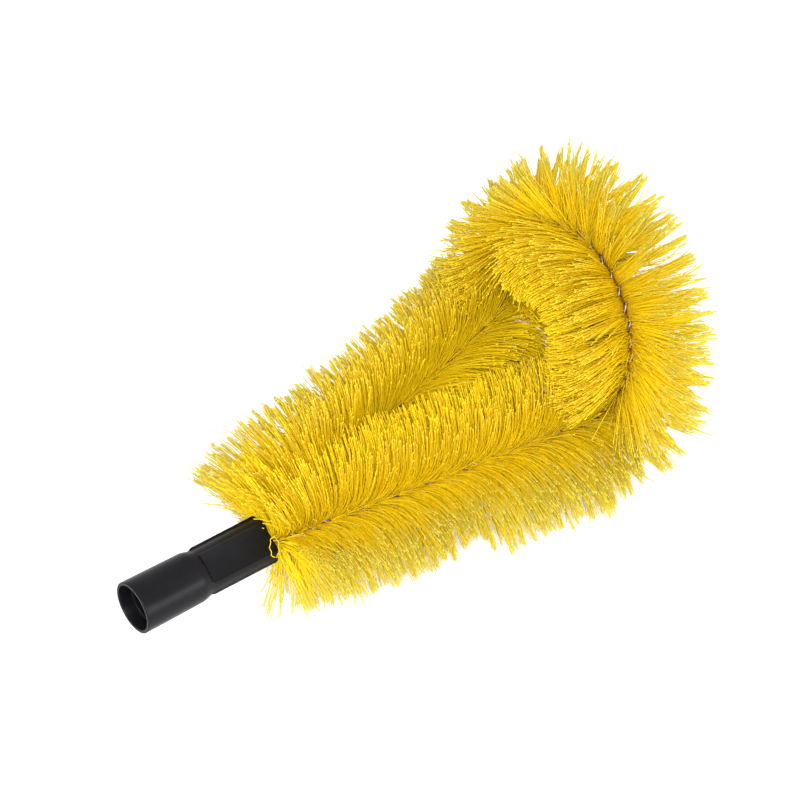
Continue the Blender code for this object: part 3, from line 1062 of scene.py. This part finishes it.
def make_floor():
    """A pale floor that glows a little to the camera alone, and takes the brush's shadow."""
    bpy.ops.mesh.primitive_plane_add(size=floor_size, location=(0.0, 0.0, -floor_drop))
    floor = bpy.context.object
    floor.name = "floor"
    nodes = Nodes("pale_floor")
    nodes.shader.inputs["Base Color"].default_value = floor_white
    nodes.shader.inputs["Roughness"].default_value = 0.9
    nodes.shader.inputs["Specular IOR Level"].default_value = 0.0
    light_path = nodes.add("ShaderNodeLightPath")
    glow = nodes.add("ShaderNodeEmission")
    seen = nodes.add("ShaderNodeMath", operation="MULTIPLY")
    seen.inputs[1].default_value = floor_glow
    nodes.link(light_path.outputs["Is Camera Ray"], seen.inputs[0])
    nodes.link(seen.outputs[0], glow.inputs["Strength"])
    both = nodes.add("ShaderNodeAddShader")
    output = nodes.tree.nodes["Material Output"]
    nodes.link(nodes.shader.outputs["BSDF"], both.inputs[0])
    nodes.link(glow.outputs["Emission"], both.inputs[1])
    nodes.link(both.outputs[0], output.inputs["Surface"])
    floor.data.materials.append(nodes.material)


def make_world():
    """White to the camera, to mirrors and through glass, and a plain soft light for the rest."""
    world = bpy.data.worlds.new("studio")
    bpy.context.scene.world = world
    world.use_nodes = True
    tree = world.node_tree
    background = tree.nodes["Background"]
    background.inputs["Color"].default_value = (1.0, 1.0, 1.0, 1.0)
    light_path = tree.nodes.new("ShaderNodeLightPath")
    total = light_path.outputs["Is Camera Ray"]
    for name in ("Is Glossy Ray", "Is Transmission Ray"):
        add = tree.nodes.new("ShaderNodeMath")
        add.operation = "MAXIMUM"
        tree.links.new(total, add.inputs[0])
        tree.links.new(light_path.outputs[name], add.inputs[1])
        total = add.outputs[0]
    strength = tree.nodes.new("ShaderNodeMapRange")
    strength.inputs["To Min"].default_value = ambient
    strength.inputs["To Max"].default_value = 1.0
    tree.links.new(total, strength.inputs["Value"])
    tree.links.new(strength.outputs["Result"], background.inputs["Strength"])


def make_lamp(name, place, size, watts):
    """A square soft lamp that faces the brush."""
    data = bpy.data.lights.new(name, "AREA")
    data.size = size
    data.energy = watts
    lamp = bpy.data.objects.new(name, data)
    bpy.context.scene.collection.objects.link(lamp)
    lamp.location = place
    towards = Vector(lamp_target) - Vector(place)
    lamp.rotation_euler = towards.to_track_quat("-Z", "Y").to_euler()


def make_camera():
    """The camera at the photograph's viewing angle."""
    direction = Vector(view_direction())
    level_right = Vector((0, 0, 1)).cross(direction).normalized()
    up = direction.cross(level_right)
    roll = math.radians(camera_roll)
    right = level_right * math.cos(roll) + up * math.sin(roll)
    up = direction.cross(right)
    data = bpy.data.cameras.new("camera")
    data.lens = camera_lens
    data.sensor_width = 36.0
    data.clip_start = 0.1
    data.clip_end = 50.0
    camera = bpy.data.objects.new("camera", data)
    bpy.context.scene.collection.objects.link(camera)
    place = Vector(camera_target) * MM + direction * camera_distance * MM
    turn = Matrix((right, up, direction)).transposed().to_4x4()
    camera.matrix_world = Matrix.Translation(place) @ turn
    bpy.context.scene.camera = camera


make_camera()
make_world()
for lamp in lamps:
    make_lamp(*lamp)
make_floor()
make_socket(socket_material())
make_wires(wire_material())
yellow = filament_material()
for number, (node, start, end) in enumerate(path.sections()):
    name = node.replace("bristles", "filaments")
    make_filaments(name, start, end, np.random.default_rng([stretch_seed, number]), yellow)
bpy.context.scene.view_settings.view_transform = "Standard"
